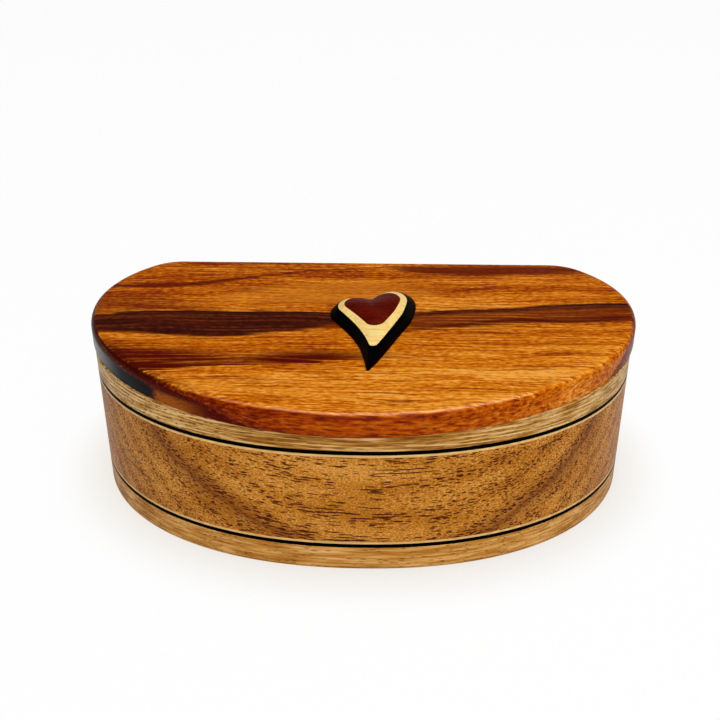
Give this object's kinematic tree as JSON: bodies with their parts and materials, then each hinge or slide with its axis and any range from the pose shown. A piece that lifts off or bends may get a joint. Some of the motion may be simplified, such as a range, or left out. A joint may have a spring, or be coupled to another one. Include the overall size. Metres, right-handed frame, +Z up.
{
  "type": "semicircular wooden keepsake box",
  "caption": "Wooden keepsake box with a D-shaped plan, layered board sides with contrasting lines, and a hinged lid that carries a carved inlaid heart.",
  "frame": {"origin": "centre of the box's bounding rectangle on the plane that its base board stands on", "axes": "+Z up, curved front and finger lip towards -Y, flat hinged back towards +Y, +X to the right of someone in front of it"},
  "size_m": [0.203, 0.1272, 0.0711],
  "materials": {
    "base_wood": "satin clear finish",
    "wall_wood": "satin clear finish, open pores",
    "ash": "satin clear finish",
    "ebony": "satin clear finish",
    "maple": "satin clear finish",
    "lid_wood": "semi-gloss clear finish, dark streaks",
    "heart_red": "semi-gloss clear finish",
    "suede": "napped suede",
    "brass": "brushed, lacquered"
  },
  "bodies": {
    "body": {"base_board": "base_wood", "lower_black_line": "ebony", "lower_maple_line": "maple", "body_wall": "wall_wood", "upper_maple_line": "maple", "upper_black_line": "ebony", "ash_rim": "ash", "floor_lining": "suede", "left_body_leaf": "brass", "right_body_leaf": "brass", "left_hinge_pin": "brass", "right_hinge_pin": "brass", "rim_screws": "brass"},
    "lid": {"lid_board": "lid_wood", "heart_base": "ebony", "heart_middle": "maple", "heart_top": "heart_red", "left_lid_leaf": "brass", "right_lid_leaf": "brass", "lid_screws": "brass"}
  },
  "joints": [
    {"name": "lid_hinge", "type": "hinge", "parent": "body", "child": "lid", "pos_m": [0, 0.05992, 0.0558], "axis": [-1, 0, 0], "range_deg": [0, 95]}
  ]
}
